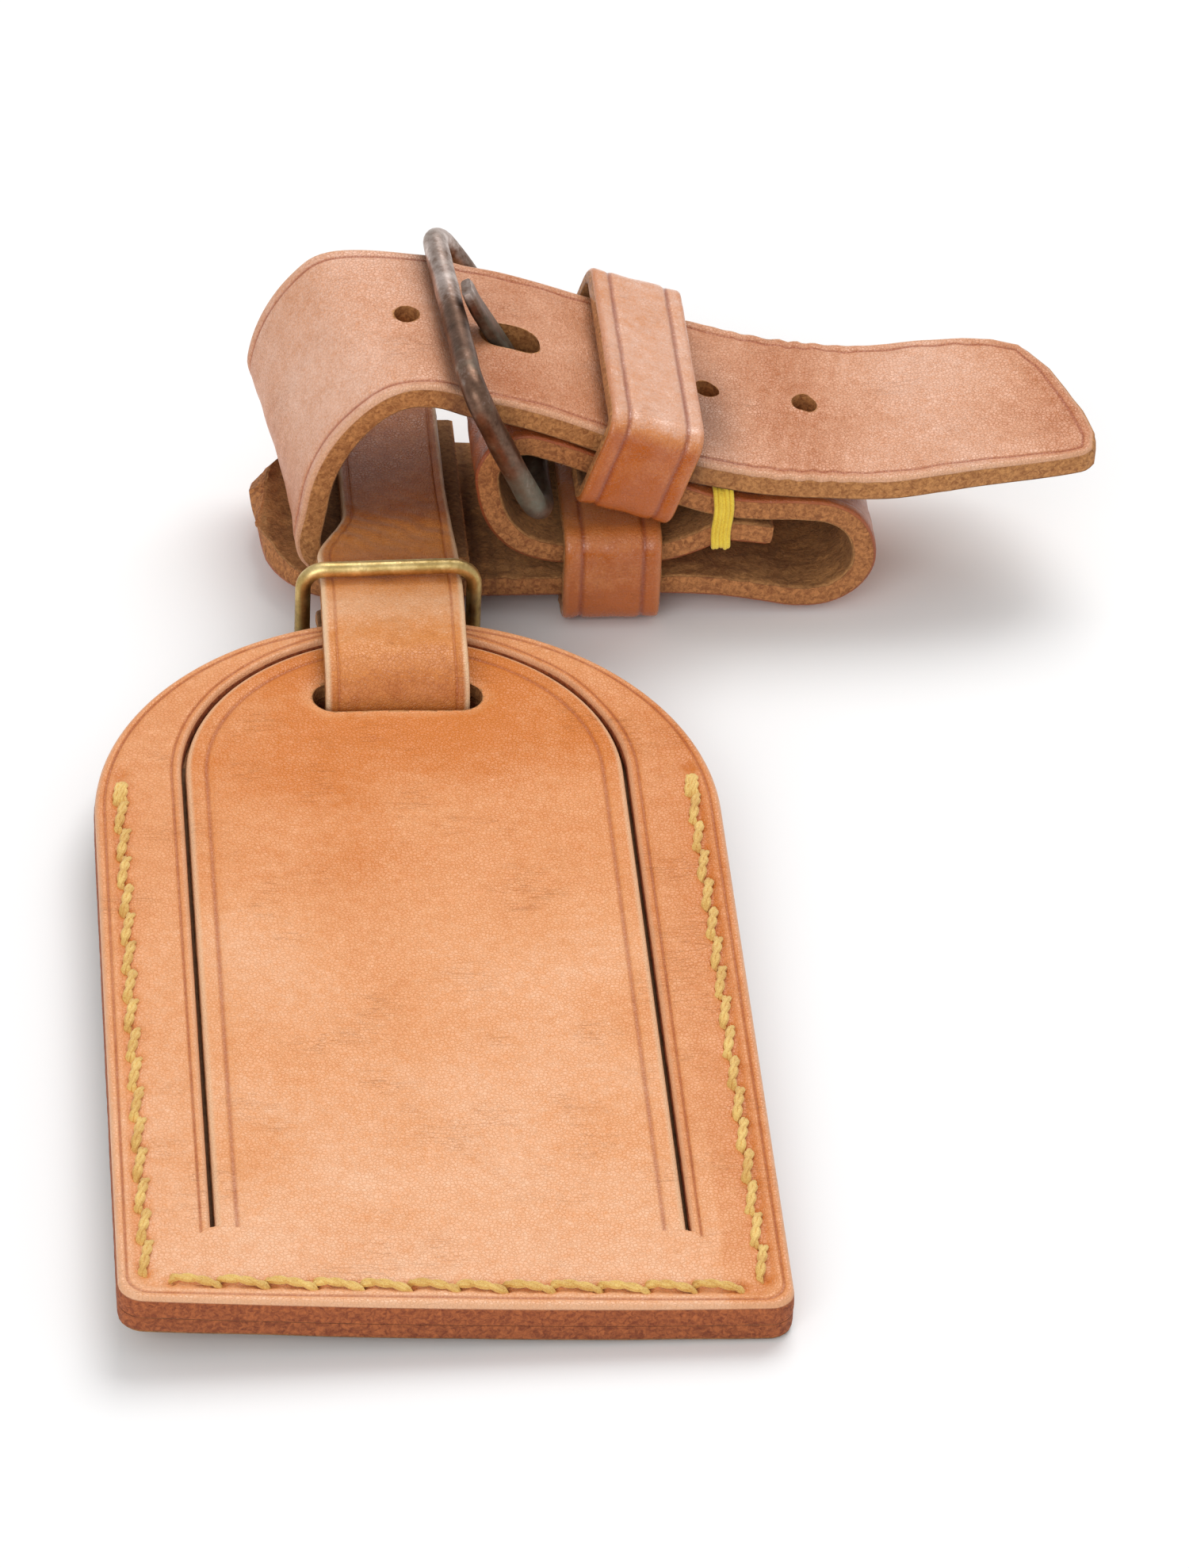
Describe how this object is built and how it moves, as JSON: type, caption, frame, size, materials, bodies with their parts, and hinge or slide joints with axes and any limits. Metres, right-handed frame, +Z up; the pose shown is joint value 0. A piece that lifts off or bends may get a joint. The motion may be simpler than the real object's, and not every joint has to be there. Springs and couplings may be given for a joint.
{
  "type": "luggage tag",
  "caption": "Leather luggage tag with a card pocket and arched tongue, hung by a narrow looped strap and a ring from a folded handle strap with keepers and a buckle.",
  "frame": {"origin": "middle of the bounding box in plan, on the table under the tag", "axes": "+X along the handle strap towards its tip, +Y from the tag's straight bottom edge to the handle strap, +Z up from the table"},
  "size_m": [0.1194, 0.1614, 0.0376],
  "materials": {
    "tag_leather": "smooth vegetable-tanned, honey coloured",
    "loop_leather": "smooth, darker and wrinkled at the handle strap",
    "strap_leather": "pale pinkish tan, fine grain, creased edges",
    "suede_leather": "flesh side, brown nap",
    "keeper_leather": "polished by wear, orange brown",
    "thread": "waxed yellow thread",
    "seam_thread": "waxed thread",
    "brass_wire": "aged, rubbed bright at the bends",
    "buckle_bronze": "dark patina with traces of green",
    "card": "plain card"
  },
  "bodies": {
    "tag": {"back_panel": "tag_leather", "front_border": "tag_leather", "stitch_left": "thread", "stitch_right": "thread", "stitch_bottom": "thread", "bartack_left": "thread", "bartack_right": "thread"},
    "flap": {"tongue": "tag_leather"},
    "card": {"address_card": "card"},
    "loop": {"loop_strap": "loop_leather"},
    "ring": {"brass_ring": "brass_wire"},
    "wrap": {"tip_strap": "strap_leather", "base_leaf": "suede_leather", "thread_tie_near": "thread", "thread_tie_far": "thread"},
    "buckle": {"buckle_frame": "buckle_bronze"},
    "prong": {"buckle_prong": "buckle_bronze"},
    "keeper_upper": {"upper_keeper": "keeper_leather", "upper_keeper_seam": "seam_thread"},
    "keeper_lower": {"lower_keeper": "keeper_leather", "lower_keeper_seam": "seam_thread"}
  },
  "joints": [
    {"name": "tongue_fold", "type": "hinge", "parent": "tag", "child": "flap", "pos_m": [-0.02465, -0.06902, 0.00331], "axis": [1, 0, 0], "range_deg": [0, 0.4]},
    {"name": "card_slide", "type": "slide", "parent": "tag", "child": "card", "axis": [0, 0.9994, 0.0351], "range_m": [0, 0.002]},
    {"name": "loop_swing", "type": "hinge", "parent": "tag", "child": "loop", "pos_m": [-0.02465, 0.02004, 0.006], "axis": [0, -0.0351, 0.9994], "range_deg": [-2.5, 2.5]},
    {"name": "ring_slide", "type": "slide", "parent": "loop", "child": "ring", "axis": [0, 1, 0], "range_m": [-0.0005, 0.0025]},
    {"name": "wrap_slide", "type": "slide", "parent": "loop", "child": "wrap", "axis": [1, 0, 0], "range_m": [-0.0015, 0.0002]},
    {"name": "buckle_turn", "type": "hinge", "parent": "wrap", "child": "buckle", "pos_m": [-0.00645, 0.06094, 0.01636], "axis": [0, 1, 0], "range_deg": [0, 3]},
    {"name": "prong_turn", "type": "hinge", "parent": "buckle", "child": "prong", "pos_m": [-0.00645, 0.06094, 0.01636], "axis": [0, 1, 0], "range_deg": [0, 4]},
    {"name": "upper_keeper_slide", "type": "slide", "parent": "wrap", "child": "keeper_upper", "axis": [0.9511, 0, -0.309], "range_m": [0, 0.001]},
    {"name": "lower_keeper_slide", "type": "slide", "parent": "wrap", "child": "keeper_lower", "axis": [1, 0, 0], "range_m": [-0.0012, 0]}
  ]
}
